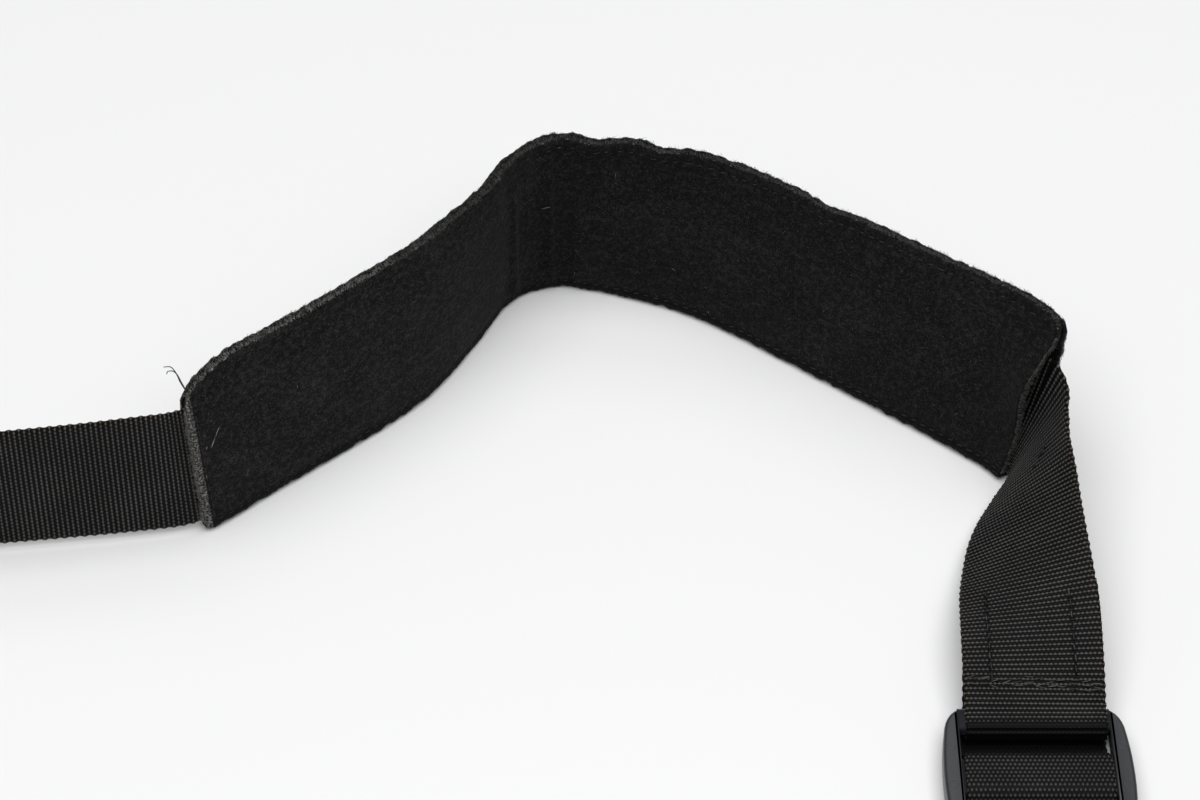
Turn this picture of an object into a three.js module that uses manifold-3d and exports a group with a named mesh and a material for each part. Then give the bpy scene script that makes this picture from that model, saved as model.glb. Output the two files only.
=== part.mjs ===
// A camera neck strap, standing in an open arch on the long lower edge of its neck pad.
//
// One length of 38 mm webbing runs between the pad's two napped layers. Its left end is free; its
// right end twists flat, turns round the upper bar of a moulded slider and is sewn back on itself.
// A second webbing, the camera's, comes up through the slider and crosses its centre bar.
//
// Millimetres, +Z up. X runs along the arch, +Y points to the outside of the bend. The origin is
// below the middle of the whole strap, on the surface that it stands on.

import * as THREE from 'three';
import { mergeVertices } from 'three/addons/utils/BufferGeometryUtils.js';
import Module from 'manifold-3d';

const GAP = 0.3;

// Webbing
const WEB_WIDTH = 38;
const PULLED_SHARE = 0.945; // of its width, where it is pulled narrow towards the slider
const CAMERA_WEB_WIDTH = 37.3;
const WEB_THICK = 1.5;
const WEB_SELVEDGE = 0.35;
const LEFT_WEB_LENGTH = 66;

// Neck pad
const PAD_LENGTH = 287;
const PAD_WIDTH = 52.5;
const PAD_LAYER = 1.8;
const WEB_LOW = 2.7; // from the pad's lower edge up to the webbing's lower edge
const SEAM_HALF_GAP = 0.2; // half the space between the layers where they are stitched together
const WEB_TOP = WEB_LOW + WEB_WIDTH;
const LANE_HALF_GAP = WEB_THICK / 2 + GAP; // and where the webbing runs between them
// Rounded corners: how far each reaches along the pad and across it.
const CORNERS = {
  leftTop: { along: 22, across: 13 },
  leftLow: { along: 2.5, across: 2.5 },
  rightTop: { along: 5, across: 5 },
  rightLow: { along: 2.5, across: 2.5 },
};

// Slider
const SLIDER_LENGTH = 44;
const SLIDER_WIDTH = 47.9;
const SLIDER_THICK = 5.8;
const SLIDER_LIFT = WEB_THICK + GAP;
const LANE_WIDTH = 38.2; // between the side rails
const OUTER_BAR = { width: 7, thick: 3.4, z: 5.6 };
const CENTRE_BAR = { width: 11, thick: 3.4, z: 5 };
const BAR_SLACK = 0.15; // how loosely the webbing passes round the bars
const BAR_ROUND = 1.2;
const SLIDER_FROM_PAD = { x: -0.5, y: -108.6 }; // its middle, from the foot of the pad's right end

// Sewn loop and camera webbing
const SEWN_LENGTH = 36;
const TAIL_BEYOND_BAR = 4.5;
const CAMERA_WEB_BEYOND = 21;

// The run of the strap on its lower edge: distance along it from the pad's left end, the way it
// heads (degrees from +X towards +Y), and how far it leans outwards from upright (degrees).
const RUN = [
  { along: -70, heading: 6, lean: 6 },
  { along: -30, heading: 7, lean: 7 },
  { along: -10, heading: 9, lean: 8 },
  { along: 0, heading: 26, lean: 8 },
  { along: 8, heading: 42, lean: 7 },
  { along: 30, heading: 40, lean: 6 },
  { along: 60, heading: 42, lean: 6 },
  { along: 92, heading: 61, lean: 2 },
  { along: 114, heading: 64, lean: -2 },
  { along: 126, heading: 34, lean: 0 },
  { along: 135, heading: 15, lean: 3 },
  { along: 145, heading: -13, lean: 6 },
  { along: 164, heading: -20, lean: 10 },
  { along: 200, heading: -37, lean: 14 },
  { along: 250, heading: -38, lean: 17 },
  { along: 276, heading: -41, lean: 20 },
  { along: 287, heading: -53, lean: 19 },
];

// Waves of the whole pad's upper edge: place, half-width along the pad, push outwards.
const EDGE_WAVES = [
  { along: 137, spread: 7, push: 1 },
  { along: 149, spread: 4.5, push: -2.4 },
  { along: 167, spread: 5, push: -2.6 },
  { along: 215, spread: 6, push: -2 },
];

// Upright folds that the inner layer makes where the pad bends: place, half-width, push inwards.
const INNER_FOLDS = [
  { along: 118, spread: 2.5, push: 0.5 },
  { along: 128, spread: 2.4, push: 1.3 },
  { along: 139, spread: 2.6, push: 1 },
];

// At its right end the inner layer stands off the webbing like the mouth of a pocket.
const POCKET = { push: 3.2, reach: 12, height: 30, spread: 11 };
// The outer layer stands off a little there too, higher up.
const OUTER_MOUTH = { push: 1.8, reach: 12, height: 33, spread: 13 };

// The free webbing's middle from the pad's right end to the slider, from the foot of that end:
// place, heading and lean as above. A lean of 90 lies flat with its inner face up.
const FREE_RUN = [
  { x: 7.2, y: -1.8, z: 20.1, heading: -75, lean: 20 },
  { x: 6.2, y: -7.8, z: 19.4, heading: -95, lean: 23 },
  { x: 4.1, y: -15.5, z: 18.4, heading: -101, lean: 31 },
  { x: 2.4, y: -23.5, z: 17.7, heading: -100, lean: 41 },
  { x: 1, y: -33, z: 17.2, heading: -97, lean: 51 },
  { x: 0.3, y: -43, z: 17.1, heading: -94, lean: 60 },
  { x: -0.1, y: -53, z: 17.1, heading: -91, lean: 70 },
  { x: -0.3, y: -62, z: 16.4, heading: -90, lean: 79 },
  { x: -0.4, y: -70, z: 15, heading: -89, lean: 84 },
  { x: -0.5, y: -78.5, z: 12.5, heading: -90, lean: 88 },
  { x: -0.5, y: -86, z: 9.7, heading: -90, lean: 90 },
];

const UP = new THREE.Vector3(0, 0, 1);
const ACROSS_FLAT = new THREE.Vector3(1, 0, 0);

// A smooth function through a table's column: cubic between rows, level at its peaks.
function smoothColumn(rows, key, column) {
  const slopes = rows.map((row, i) => {
    if (i === 0 || i === rows.length - 1) return 0;
    const before = (row[column] - rows[i - 1][column]) / (row[key] - rows[i - 1][key]);
    const after = (rows[i + 1][column] - row[column]) / (rows[i + 1][key] - row[key]);
    return before * after > 0 ? (2 * before * after) / (before + after) : 0;
  });
  return (place) => {
    let i = rows.findIndex((row) => row[key] > place) - 1;
    if (i === -2) i = rows.length - 2;
    i = Math.max(i, 0);
    const span = rows[i + 1][key] - rows[i][key];
    const t = THREE.MathUtils.clamp((place - rows[i][key]) / span, 0, 1);
    const rise = t * t * (3 - 2 * t);
    const bend = span * t * (1 - t) * (slopes[i] * (1 - t) - slopes[i + 1] * t);
    return rows[i][column] * (1 - rise) + rows[i + 1][column] * rise + bend;
  };
}

const headingAt = smoothColumn(RUN, 'along', 'heading');
const leanAt = smoothColumn(RUN, 'along', 'lean');

// The strap's foot line on the standing surface, found by walking along its headings.
const FOOT_STEP = 1;
const FOOT_START = RUN[0].along;
const footLine = [new THREE.Vector3()];
for (let along = FOOT_START; along < PAD_LENGTH + FOOT_STEP; along += FOOT_STEP) {
  const heading = THREE.MathUtils.degToRad(headingAt(along + FOOT_STEP / 2));
  const step = new THREE.Vector3(Math.cos(heading), Math.sin(heading), 0).multiplyScalar(FOOT_STEP);
  footLine.push(footLine.at(-1).clone().add(step));
}

function footAt(along) {
  const place = (along - FOOT_START) / FOOT_STEP;
  const i = Math.min(Math.floor(place), footLine.length - 2);
  return footLine[i].clone().lerp(footLine[i + 1], place - i);
}

// The directions of a strap that heads and leans so: up its width, and out of its outer face.
function directions(headingDegrees, leanDegrees) {
  const heading = THREE.MathUtils.degToRad(headingDegrees);
  const lean = THREE.MathUtils.degToRad(leanDegrees);
  const side = new THREE.Vector3(-Math.sin(heading), Math.cos(heading), 0);
  return {
    across: UP.clone().multiplyScalar(Math.cos(lean)).addScaledVector(side, Math.sin(lean)),
    out: side.clone().multiplyScalar(Math.cos(lean)).addScaledVector(UP, -Math.sin(lean)),
  };
}

const hump = (distance, spread) => Math.exp(-((distance / spread) ** 2));

// How far the whole strap is pushed outwards by its upper edge's waves.
function edgeWave(along, across) {
  const nearTop = THREE.MathUtils.smoothstep(across, WEB_TOP, PAD_WIDTH);
  return nearTop * EDGE_WAVES.reduce((sum, w) => sum + w.push * hump(along - w.along, w.spread), 0);
}

// A point of the standing strap: so far along, so far across from its foot, so far outwards.
function strapPoint(along, across, outwards) {
  const d = directions(headingAt(along), leanAt(along));
  return footAt(along)
    .addScaledVector(d.across, across)
    .addScaledVector(d.out, outwards + edgeWave(along, across));
}

// A closed wall from a grid of points: pointAt(i, j, face) with face 0 inside and 1 outside.
function wall(columns, rows, pointAt) {
  const positions = [];
  const index = [];
  const id = (i, j, face) => (face * columns + i) * rows + j;
  const quad = (a, b, c, d) => index.push(a, b, c, a, c, d);
  for (const face of [0, 1]) {
    for (let i = 0; i < columns; i++) {
      for (let j = 0; j < rows; j++) positions.push(...pointAt(i, j, face).toArray());
    }
  }
  for (let i = 0; i < columns - 1; i++) {
    for (let j = 0; j < rows - 1; j++) {
      quad(id(i, j, 0), id(i + 1, j, 0), id(i + 1, j + 1, 0), id(i, j + 1, 0));
      quad(id(i, j, 1), id(i, j + 1, 1), id(i + 1, j + 1, 1), id(i + 1, j, 1));
    }
    quad(id(i, 0, 0), id(i, 0, 1), id(i + 1, 0, 1), id(i + 1, 0, 0));
    quad(id(i, rows - 1, 0), id(i + 1, rows - 1, 0), id(i + 1, rows - 1, 1), id(i, rows - 1, 1));
  }
  for (let j = 0; j < rows - 1; j++) {
    quad(id(0, j, 0), id(0, j + 1, 0), id(0, j + 1, 1), id(0, j, 1));
    quad(id(columns - 1, j, 0), id(columns - 1, j, 1), id(columns - 1, j + 1, 1), id(columns - 1, j + 1, 0));
  }
  const geometry = new THREE.BufferGeometry();
  geometry.setAttribute('position', new THREE.Float32BufferAttribute(positions, 3));
  geometry.setIndex(index);
  geometry.computeVertexNormals();
  return geometry;
}

// Places along the strap, closer together where it bends and at the pad's rounded corners.
function stationsBetween(start, end) {
  const stations = [start];
  while (stations.at(-1) < end - 1e-6) {
    const along = stations.at(-1);
    const fine = (along > 108 && along < 172) || (along > 205 && along < 224);
    const corner = along < 12 || along > PAD_LENGTH - 10;
    const step = fine ? 2.5 : corner ? 2.5 : 6;
    stations.push(end - along < step * 1.5 ? end : along + step);
  }
  return stations;
}

// How much a rounded corner cuts off the pad's width at a distance from its end.
function cornerCut(fromEnd, { along, across }) {
  const left = Math.max(1 - fromEnd / along, 0);
  return across * (1 - Math.sqrt(1 - left ** 2));
}

// Half the space between the pad's layers: closed at the stitched edges, open for the webbing.
function halfGap(across) {
  const laneTop = WEB_TOP + 1;
  const low = THREE.MathUtils.smoothstep(across, 0, WEB_LOW - 0.7);
  const high = 1 - THREE.MathUtils.smoothstep(across, laneTop, laneTop + 4);
  return SEAM_HALF_GAP + (LANE_HALF_GAP - SEAM_HALF_GAP) * low * high;
}

function innerLayerPush(along, across) {
  const upright = THREE.MathUtils.smoothstep(across, 0, 8) * (1 - 0.6 * THREE.MathUtils.smoothstep(across, 38, 48));
  const folds = INNER_FOLDS.reduce((sum, f) => sum + f.push * hump(along - f.along, f.spread), 0);
  const mouth = hump(across - POCKET.height, POCKET.spread) * hump(PAD_LENGTH - along, POCKET.reach);
  return upright * folds + POCKET.push * mouth;
}

function outerLayerPush(along, across) {
  const { push, reach, height, spread } = OUTER_MOUTH;
  return push * hump(across - height, spread) * hump(PAD_LENGTH - along, reach);
}

// One napped layer of the pad; side is -1 for the inner layer and 1 for the outer one.
function padLayer(side) {
  const stations = stationsBetween(0, PAD_LENGTH);
  const laneTop = WEB_TOP + 1;
  const rows = [0, 2.2, 9, 16, 23, 30, 36, laneTop, laneTop + 3.6, PAD_WIDTH - 3, PAD_WIDTH];
  const knee = 34; // rows above it close up where the corner is rounded
  return wall(stations.length, rows.length, (i, j, face) => {
    const along = stations[i];
    const fromRight = PAD_LENGTH - along;
    const topCut = Math.max(cornerCut(along, CORNERS.leftTop), cornerCut(fromRight, CORNERS.rightTop));
    const lowCut = Math.max(cornerCut(along, CORNERS.leftLow), cornerCut(fromRight, CORNERS.rightLow));
    let across = j === 0 ? lowCut : Math.max(rows[j], lowCut + 0.8 * j);
    if (across > knee) across = knee + ((across - knee) * (PAD_WIDTH - topCut - knee)) / (PAD_WIDTH - knee);
    const outerFace = (side > 0) === (face === 1);
    let outwards = side * (halfGap(across) + (outerFace ? PAD_LAYER : 0));
    if (side < 0) outwards -= innerLayerPush(along, across);
    else outwards += outerLayerPush(along, across);
    // The lowest edge is pressed flat on the surface, except at the rounded corner.
    if (j === 0) across += outwards * Math.tan(THREE.MathUtils.degToRad(leanAt(along)));
    return strapPoint(along, across, outwards);
  });
}

// A webbing through its frames: each frame's pointAt(across, outwards) is measured from its middle.
function webbing(frames, width = WEB_WIDTH) {
  const half = width / 2;
  const rows = [-half, -half + 1, 0, half - 1, half];
  return wall(frames.length, rows.length, (i, j, face) => {
    const selvedge = j === 0 || j === rows.length - 1;
    const thick = WEB_THICK / 2 - (selvedge ? WEB_SELVEDGE : 0);
    return frames[i].pointAt(rows[j], face === 1 ? thick : -thick);
  });
}

// The webbing where it stands with the pad.
function standingFrame(along) {
  const middle = WEB_LOW + WEB_WIDTH / 2;
  return {
    middle: strapPoint(along, middle, 0),
    across: directions(headingAt(along), leanAt(along)).across,
    pointAt: (across, outwards) => strapPoint(along, middle + across, outwards),
  };
}

// Frames of a free webbing from its middles and width directions, squared to the way it runs.
function freeFramesFrom(keys) {
  return keys.map(({ middle, across, share = 1 }, i) => {
    const ahead = keys[Math.min(i + 1, keys.length - 1)].middle;
    const behind = keys[Math.max(i - 1, 0)].middle;
    const along = ahead.clone().sub(behind).normalize();
    const width = across.clone().addScaledVector(along, -across.dot(along)).normalize();
    const out = width.clone().cross(along);
    const pointAt = (a, o) => middle.clone().addScaledVector(width, a * share).addScaledVector(out, o);
    return { middle, across: width, out, pointAt };
  });
}

const padEnd = footAt(PAD_LENGTH);
const sliderMiddle = padEnd.clone().add(new THREE.Vector3(SLIDER_FROM_PAD.x, SLIDER_FROM_PAD.y, 0));
const upperBarY = sliderMiddle.y + (SLIDER_LENGTH - OUTER_BAR.width) / 2;

// Middles and widths of a flat-lying webbing through points of its side view: y along it and z up.
function flatKeys(sideView, count) {
  const points = sideView.map(([y, z]) => new THREE.Vector3(sliderMiddle.x, y, z));
  const curve = new THREE.CatmullRomCurve3(points, false, 'centripetal');
  return curve.getSpacedPoints(count).map((middle) => {
    middle.z = Math.max(middle.z, WEB_THICK / 2);
    return { middle, across: ACROSS_FLAT };
  });
}

// From the pad's end to the slider's upper bar, untwisting from upright to flat.
function freeKeys() {
  const start = [PAD_LENGTH - 12, PAD_LENGTH].map(standingFrame);
  const rows = FREE_RUN.map((row) => ({
    middle: padEnd.clone().add(new THREE.Vector3(row.x, row.y, row.z)),
    across: directions(row.heading, row.lean).across,
  }));
  const barTop = OUTER_BAR.z + OUTER_BAR.thick / 2 + GAP + WEB_THICK / 2;
  const crest = new THREE.Vector3(sliderMiddle.x, upperBarY + 0.5, barTop + 0.2);
  const keys = [...start, ...rows, { middle: crest, across: ACROSS_FLAT }];
  const middles = new THREE.CatmullRomCurve3(keys.map((k) => k.middle), false, 'centripetal');
  const acrosses = new THREE.CatmullRomCurve3(keys.map((k) => k.across), false, 'centripetal');
  const steps = 3 * (keys.length - 1);
  const sampled = [];
  for (let i = 4; i <= steps; i++) {
    const t = i / steps;
    const share = 1 - (1 - PULLED_SHARE) * THREE.MathUtils.smoothstep(i, 6, 20);
    sampled.push({ middle: middles.getPoint(t), across: acrosses.getPoint(t).normalize(), share });
  }
  return sampled;
}

// Round the upper bar, then back under the strap for the sewn length.
function loopKeys(free) {
  const radius = OUTER_BAR.thick / 2 + GAP + BAR_SLACK + WEB_THICK / 2;
  const centreY = upperBarY - OUTER_BAR.width / 2 + OUTER_BAR.thick / 2;
  const turn = [];
  for (let degrees = 20; degrees <= 180; degrees += 20) {
    const angle = THREE.MathUtils.degToRad(degrees);
    turn.push([centreY - radius * Math.sin(angle), OUTER_BAR.z + radius * Math.cos(angle)]);
  }
  const layerPitch = WEB_THICK + GAP + 0.1;
  const under = freeFramesFrom(free)
    .map((frame) => ({ middle: frame.pointAt(0, layerPitch), across: frame.across, share: PULLED_SHARE }))
    .filter(({ middle }) => middle.y > upperBarY + 11.5 && middle.y < upperBarY + SEWN_LENGTH)
    .reverse();
  const first = under[0].middle;
  const underBar = OUTER_BAR.z - radius;
  const rising = [
    [upperBarY + 2.8, underBar],
    [upperBarY + 6.1, underBar + 1.7],
    [first.y - 2.6, first.z - 2.4],
  ];
  const flat = flatKeys([...turn, ...rising, [first.y, first.z]], 20)
    .map((key) => ({ ...key, share: PULLED_SHARE }));
  return [...flat.slice(0, -1), ...under];
}

function strapWebbing() {
  const left = stationsBetween(-LEFT_WEB_LENGTH, 0).slice(0, -1);
  const standing = [...left, ...stationsBetween(0, PAD_LENGTH)].map(standingFrame);
  const free = freeKeys();
  const loose = freeFramesFrom([standing.at(-1), ...free, ...loopKeys(free)]).slice(1);
  return webbing([...standing, ...loose]);
}

function cameraWebbing() {
  const low = WEB_THICK / 2;
  const high = CENTRE_BAR.z + CENTRE_BAR.thick / 2 + GAP + WEB_THICK / 2 + 2 * BAR_SLACK;
  const y = sliderMiddle.y;
  const shoulder = CENTRE_BAR.width / 2;
  const climb = (sign) => [
    [y + sign * (shoulder + 7.2), low + 0.2],
    [y + sign * (shoulder + 4), low + 2],
    [y + sign * (shoulder + 1.6), high - 1.9],
    [y + sign * (shoulder - 0.7), high - 0.2],
  ];
  const sideView = [
    [upperBarY + TAIL_BEYOND_BAR, low],
    [upperBarY - 1, low],
    ...climb(1),
    [y, high],
    ...climb(-1).reverse(),
    [y - SLIDER_LENGTH / 2 + 4, low],
    [y - SLIDER_LENGTH / 2 - 4, low],
    [y - SLIDER_LENGTH / 2 - CAMERA_WEB_BEYOND, low],
  ];
  return webbing(freeFramesFrom(flatKeys(sideView, 46)), CAMERA_WEB_WIDTH);
}

// The slider seen from above: straight ends, round corners and gently bulging sides.
function sliderOutline() {
  const end = SLIDER_LENGTH / 2;
  const side = SLIDER_WIDTH / 2;
  const shape = new THREE.Shape();
  shape.moveTo(-side + 8, -end);
  shape.lineTo(side - 8, -end);
  shape.bezierCurveTo(side - 3.4, -end, side - 1.3, -end + 3.4, side - 0.9, -end + 8);
  shape.quadraticCurveTo(side + 0.9, 0, side - 0.9, end - 8);
  shape.bezierCurveTo(side - 1.3, end - 3.4, side - 3.4, end, side - 8, end);
  shape.lineTo(-side + 8, end);
  shape.bezierCurveTo(-side + 3.4, end, -side + 1.3, end - 3.4, -side + 0.9, end - 8);
  shape.quadraticCurveTo(-side - 0.9, 0, -side + 0.9, -end + 8);
  shape.bezierCurveTo(-side + 1.3, -end + 3.4, -side + 3.4, -end, -side + 8, -end);
  return shape;
}

function sliderBar({ width, thick, z }, y) {
  const w = width / 2 - BAR_ROUND;
  const t = thick / 2 - BAR_ROUND;
  const section = new THREE.Shape();
  section.absarc(w, t, BAR_ROUND, 0, Math.PI / 2);
  section.absarc(-w, t, BAR_ROUND, Math.PI / 2, Math.PI);
  section.absarc(-w, -t, BAR_ROUND, Math.PI, 1.5 * Math.PI);
  section.absarc(w, -t, BAR_ROUND, 1.5 * Math.PI, 2 * Math.PI);
  const length = LANE_WIDTH + 2;
  const bar = new THREE.ExtrudeGeometry(section, { depth: length, bevelEnabled: false, curveSegments: 4 });
  bar.translate(0, 0, -length / 2);
  bar.rotateX(Math.PI / 2); // the section's width now runs along X and its length along -Y
  bar.rotateZ(Math.PI / 2);
  bar.translate(0, y, z);
  return bar;
}

const wasm = await Module();
wasm.setup();

function solid(geometry) {
  const bare = geometry.index ? geometry.toNonIndexed() : geometry.clone();
  bare.deleteAttribute('normal');
  bare.deleteAttribute('uv');
  const merged = mergeVertices(bare, 1e-4);
  const vertProperties = new Float32Array(merged.attributes.position.array);
  const triVerts = new Uint32Array(merged.index.array);
  return new wasm.Manifold(new wasm.Mesh({ numProp: 3, vertProperties, triVerts }));
}

function geometryOf(manifold) {
  const mesh = manifold.getMesh();
  const geometry = new THREE.BufferGeometry();
  geometry.setAttribute('position', new THREE.BufferAttribute(mesh.vertProperties, 3));
  geometry.setIndex(new THREE.BufferAttribute(mesh.triVerts, 1));
  geometry.computeVertexNormals();
  return geometry;
}

// One moulding: two side rails cut from the outline, joined by three rounded bars.
function sliderFrame() {
  const bevel = 0.9;
  const plate = new THREE.ExtrudeGeometry(sliderOutline(), {
    depth: SLIDER_THICK - 2 * bevel,
    bevelThickness: bevel,
    bevelSize: bevel,
    bevelOffset: -bevel,
    bevelSegments: 3,
    curveSegments: 7,
  });
  plate.translate(0, 0, SLIDER_LIFT + bevel);
  const lane = new THREE.BoxGeometry(LANE_WIDTH, SLIDER_LENGTH * 2, SLIDER_THICK * 4);
  let frame = solid(plate).subtract(solid(lane));
  const outer = (SLIDER_LENGTH - OUTER_BAR.width) / 2;
  frame = frame.add(solid(sliderBar(OUTER_BAR, outer)));
  frame = frame.add(solid(sliderBar(CENTRE_BAR, 0)));
  frame = frame.add(solid(sliderBar(OUTER_BAR, -outer)));
  const geometry = geometryOf(frame);
  geometry.translate(sliderMiddle.x, sliderMiddle.y, 0);
  return geometry;
}

function piece(name, geometry, colour, roughness) {
  const material = new THREE.MeshStandardMaterial({ color: colour, roughness, metalness: 0 });
  const mesh = new THREE.Mesh(geometry, material);
  mesh.name = name;
  return mesh;
}

const strap = new THREE.Group();
strap.add(piece('pad_inner_layer', padLayer(-1), 0x141414, 0.95));
strap.add(piece('pad_outer_layer', padLayer(1), 0x161616, 0.95));
strap.add(piece('strap_webbing', strapWebbing(), 0x1e1e1f, 0.7));
strap.add(piece('camera_webbing', cameraWebbing(), 0x262626, 0.7));
strap.add(piece('slider', sliderFrame(), 0x5c5f61, 0.45));

// The origin goes below the middle of the strap.
const box = new THREE.Box3().setFromObject(strap);
const middle = box.getCenter(new THREE.Vector3());
strap.position.set(-middle.x, -middle.y, 0);

export default strap;
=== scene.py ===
import math

import bmesh
import bpy
import numpy as np
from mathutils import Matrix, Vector


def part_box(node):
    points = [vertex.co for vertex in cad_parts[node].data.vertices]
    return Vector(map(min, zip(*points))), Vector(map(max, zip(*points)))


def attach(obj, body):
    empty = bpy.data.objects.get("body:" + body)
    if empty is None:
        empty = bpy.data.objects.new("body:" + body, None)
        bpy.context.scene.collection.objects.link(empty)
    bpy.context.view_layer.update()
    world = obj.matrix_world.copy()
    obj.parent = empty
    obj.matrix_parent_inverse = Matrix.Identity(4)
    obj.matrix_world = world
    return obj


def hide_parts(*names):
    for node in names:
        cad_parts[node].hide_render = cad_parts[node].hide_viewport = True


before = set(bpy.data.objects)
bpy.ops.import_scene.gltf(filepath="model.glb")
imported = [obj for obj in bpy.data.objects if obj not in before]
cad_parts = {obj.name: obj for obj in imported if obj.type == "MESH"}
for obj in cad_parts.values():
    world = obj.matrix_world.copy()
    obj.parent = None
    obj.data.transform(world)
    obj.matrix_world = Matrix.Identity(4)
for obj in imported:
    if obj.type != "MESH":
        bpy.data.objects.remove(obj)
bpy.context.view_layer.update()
bpy.context.scene.view_settings.view_transform = "Standard"

# ---- Camera ----
# A 105 mm lens looks down at the strap from the open side of its arch, at half a right angle.
LENS = 105
VIEW_DISTANCE = 0.97885
VIEW_DOWN = math.radians(45)
view_middle = Vector((0.0195, 0.064, 0))

camera_data = bpy.data.cameras.new("studio_camera")
camera_data.lens = LENS
camera_data.sensor_width = 36
camera = bpy.data.objects.new("studio_camera", camera_data)
camera.location = view_middle + VIEW_DISTANCE * Vector((0, -math.cos(VIEW_DOWN), math.sin(VIEW_DOWN)))
camera.rotation_euler = (math.pi / 2 - VIEW_DOWN, 0, 0)
bpy.context.scene.collection.objects.link(camera)
bpy.context.scene.camera = camera

# ---- Neck pad: two napped layers ----
# The pad is two layers of thin foam with a short velvet nap outside, cut to one outline and sewn
# together round the edge with the webbing between them. It stands on its lower edge in an open
# arch, sharply bent once, and its cut edges show the paler foam, painted paler still as rim light.
# Lengths are in millimetres here; placed() turns points into the row's metres.
PAD_LENGTH = 287
PAD_WIDTH = 52.5
PAD_LAYER = 1.8
WEB_WIDTH = 38
WEB_THICK = 1.5
WEB_LOW = 2.7
WEB_TOP = WEB_LOW + WEB_WIDTH
GAP = 0.3
SEAM_HALF_GAP = 0.28
LANE_HALF_GAP = WEB_THICK / 2 + GAP
STITCH_INSET = 3.1  # the seam runs this far inside the cut edge
SEAM_DIP = 0.42  # and pulls each face in by this much
ROUND_EDGE = 0.55
RIM_SHARE = 0.66  # of a layer's thickness, left at its cut edge

# Distance along the pad, heading and outward lean in degrees, as the pad stands.
RUN = (
    (-70, 6, 6), (-30, 7, 7), (-10, 9, 8), (0, 26, 8), (8, 42, 7), (30, 40, 6), (60, 42, 6),
    (92, 61, 2), (114, 64, -2), (126, 34, 0), (135, 15, 3), (145, -13, 6), (164, -20, 10),
    (200, -37, 14), (250, -38, 17), (276, -41, 20), (287, -53, 19),
)  # fmt: skip
# Waves of the upper edge and upright folds of the inner layer: place, half-width, push.
EDGE_WAVES = ((137, 7, 1), (149, 4.5, -2.4), (167, 5, -2.6), (215, 6, -2))
INNER_FOLDS = (
    (123, 1.9, 1), (136.5, 1.4, 2), (145.5, 1.5, 1.9), (154, 4, 0.5), (169, 5, 0.5), (186, 6, 0.4),
)  # fmt: skip
POCKET = {"push": 4.6, "reach": 9, "height": 31, "spread": 11}
OUTER_MOUTH = {"push": 1.8, "reach": 12, "height": 33, "spread": 13}
# Rounded corners: reach along the pad and across it.
LEFT_TOP, RIGHT_TOP, LOW_CORNER = (22, 13), (5, 5), (2.5, 2.5)
KNEE = 34


def smooth_column(rows, column):
    """A smooth function of the rows' first number, level at its peaks."""
    keys = np.array([row[0] for row in rows], float)
    values = np.array([row[column] for row in rows], float)
    rise = np.diff(values) / np.diff(keys)
    same = rise[:-1] * rise[1:] > 0
    slopes = np.zeros(len(rows))
    slopes[1:-1][same] = (2 * rise[:-1] * rise[1:])[same] / (rise[:-1] + rise[1:])[same]

    def value_at(place):
        i = np.clip(np.searchsorted(keys, place, side="right") - 1, 0, len(keys) - 2)
        span = keys[i + 1] - keys[i]
        t = np.clip((place - keys[i]) / span, 0, 1)
        blend = t * t * (3 - 2 * t)
        bend = span * t * (1 - t) * (slopes[i] * (1 - t) - slopes[i + 1] * t)
        return values[i] * (1 - blend) + values[i + 1] * blend + bend

    return value_at


def smoothstep(x, low, high):
    t = np.clip((x - low) / (high - low), 0, 1)
    return t * t * (3 - 2 * t)


def hump(distance, spread):
    return np.exp(-((distance / spread) ** 2))


heading_at = smooth_column(RUN, 1)
lean_at = smooth_column(RUN, 2)
foot_along = np.arange(RUN[0][0], PAD_LENGTH + 2.0)
foot_heading = np.radians(heading_at(foot_along[:-1] + 0.5))
foot_x = np.concatenate([[0], np.cumsum(np.cos(foot_heading))])
foot_y = np.concatenate([[0], np.cumsum(np.sin(foot_heading))])


def directions(heading, lean):
    """Up the strap's width, and out of its outer face, for headings and leans in degrees."""
    heading, lean = np.radians(heading), np.radians(lean)
    side = np.stack([-np.sin(heading), np.cos(heading), 0 * heading], -1)
    cos, sin = np.cos(lean)[..., None], np.sin(lean)[..., None]
    up = np.array([0, 0, 1.0])
    return up * cos + side * sin, side * cos - up * sin


def strap_points(along, across, outwards):
    """Points of the standing strap: along it, up from its foot, and out of its outer face."""
    width, out = directions(heading_at(along), lean_at(along))
    x, y = np.interp(along, foot_along, foot_x), np.interp(along, foot_along, foot_y)
    foot = np.stack([x, y, 0 * along], -1)
    wave = smoothstep(across, WEB_TOP, PAD_WIDTH) * sum(p * hump(along - a, s) for a, s, p in EDGE_WAVES)
    return foot + width * across[..., None] + out * (outwards + wave)[..., None]


pad_end = strap_points(np.array([float(PAD_LENGTH)]), np.zeros(1), np.zeros(1))[0]
slider_middle = pad_end + np.array([-0.5, -108.6, 0])
slider_low, slider_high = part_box("slider")
to_row = np.array((slider_low + slider_high) / 2) * np.array([1, 1, 0]) - 0.001 * slider_middle


def placed(points):
    return points * 0.001 + to_row


def corner_cut(from_end, reach):
    left = np.clip(1 - from_end / reach[0], 0, 1)
    return reach[1] * (1 - np.sqrt(1 - left**2))


def half_gap(across):
    low = smoothstep(across, 0, WEB_LOW - 0.7)
    high = 1 - smoothstep(across, WEB_TOP + 1, WEB_TOP + 5)
    return SEAM_HALF_GAP + (LANE_HALF_GAP - SEAM_HALF_GAP) * low * high


def inner_push(along, across):
    upright = smoothstep(across, 0, 8) * (1 - 0.6 * smoothstep(across, 38, 48))
    folds = sum(p * hump(along - a, s) for a, s, p in INNER_FOLDS)
    return upright * folds + mouth_push(along, across, POCKET)


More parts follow.
